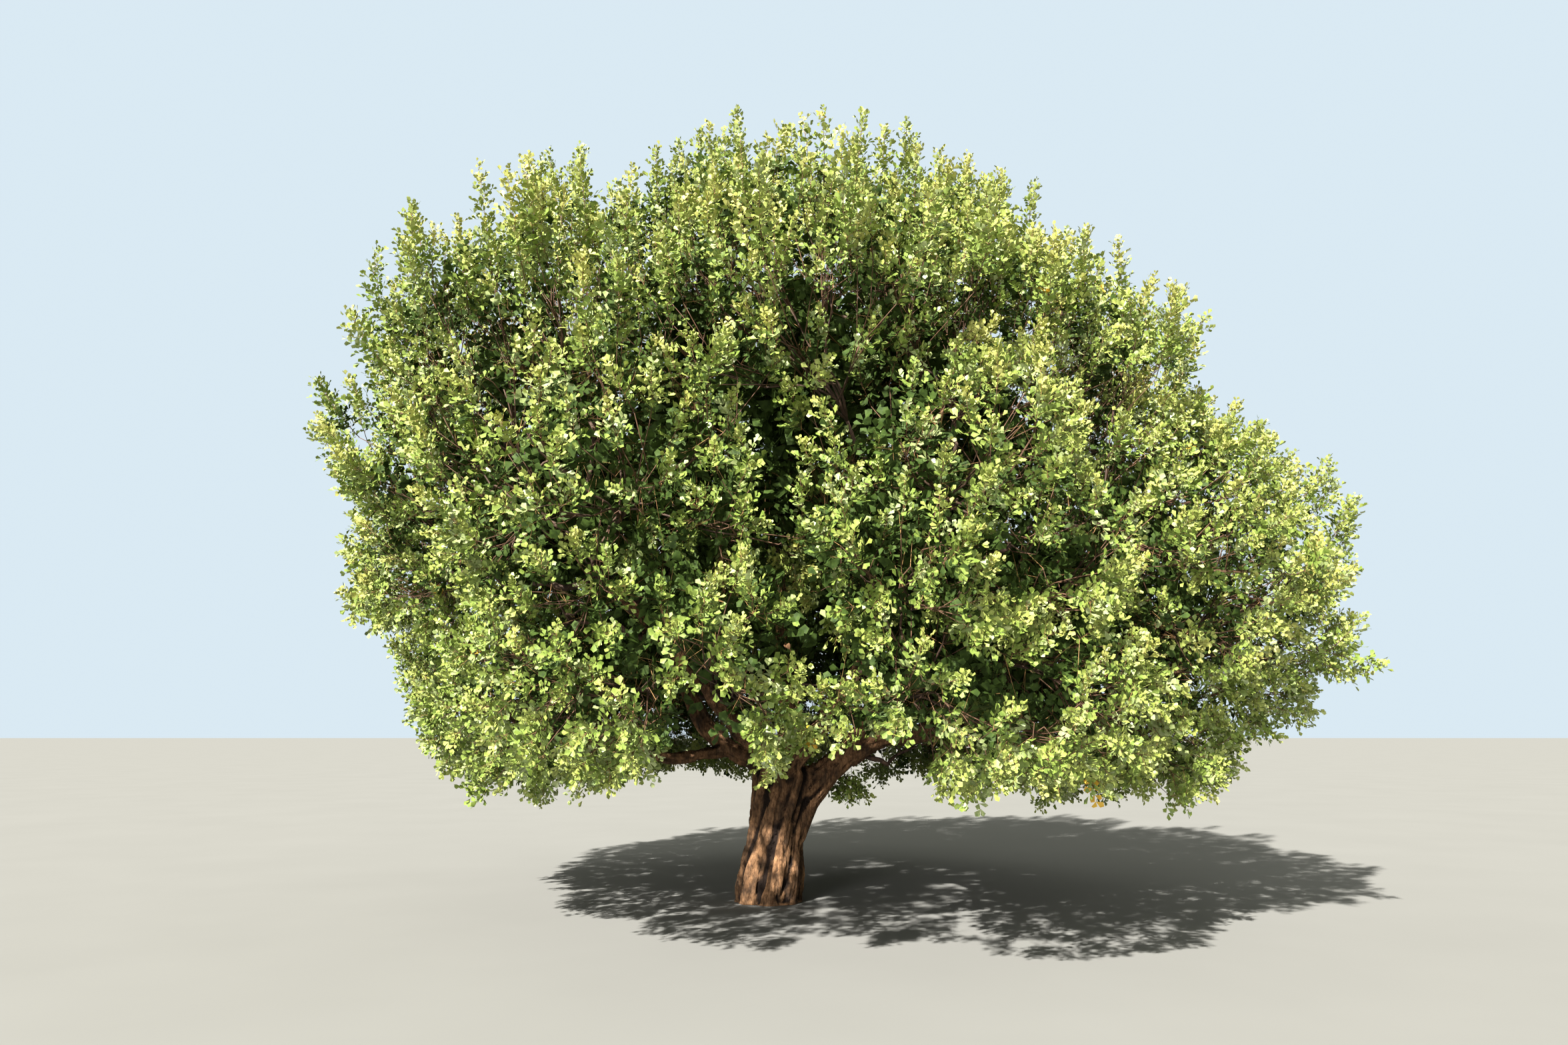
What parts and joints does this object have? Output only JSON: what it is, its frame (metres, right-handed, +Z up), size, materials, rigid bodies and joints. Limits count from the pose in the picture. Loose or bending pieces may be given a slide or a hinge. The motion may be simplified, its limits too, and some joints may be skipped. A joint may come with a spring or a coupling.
{
  "type": "carob tree",
  "caption": "Whole carob tree in full leaf: a short twisting fluted trunk, low spreading boughs and a broad round evergreen crown that hangs close to the ground.",
  "frame": {"origin": "middle of the flat cut under the trunk, at ground level", "axes": "+Z up; +X to the tree's right as seen from its front; +Y from its front to its back"},
  "size_m": [14.4532, 13.5378, 11.5217],
  "materials": {
    "bark": "furrowed reddish-brown bark, twisted into ribs, with pale worn crests and near-black grooves",
    "leaves": "leathery compound leaves, glossy mid to dark green, with yellow-green young tips"
  },
  "bodies": {
    "root": {"belt_1": "leaves", "belt_2": "leaves", "belt_3": "leaves", "belt_4": "leaves", "belt_5": "leaves", "belt_6": "leaves", "belt_7": "leaves", "belt_8": "leaves", "belt_9": "leaves", "bough_back_left": "bark", "bough_back_right": "bark", "bough_front_left": "bark", "bough_front_right": "bark", "bough_leader": "bark", "bough_left": "bark", "bough_left_low": "bark", "bough_right": "bark", "bough_right_high": "bark", "core_front": "leaves", "core_left": "leaves", "core_right": "leaves", "peak": "leaves", "right_lobe_lower": "leaves", "right_lobe_upper": "leaves", "shoulder_1": "leaves", "shoulder_2": "leaves", "shoulder_3": "leaves", "shoulder_4": "leaves", "shoulder_5": "leaves", "shoulder_6": "leaves", "shoulder_7": "leaves", "skirt_1": "leaves", "skirt_2": "leaves", "skirt_3": "leaves", "skirt_4": "leaves", "skirt_5": "leaves", "skirt_6": "leaves", "skirt_7": "leaves", "skirt_8": "leaves", "skirt_9": "leaves", "top_1": "leaves", "top_2": "leaves", "top_3": "leaves", "top_4": "leaves", "trunk": "bark"}
  },
  "joints": []
}
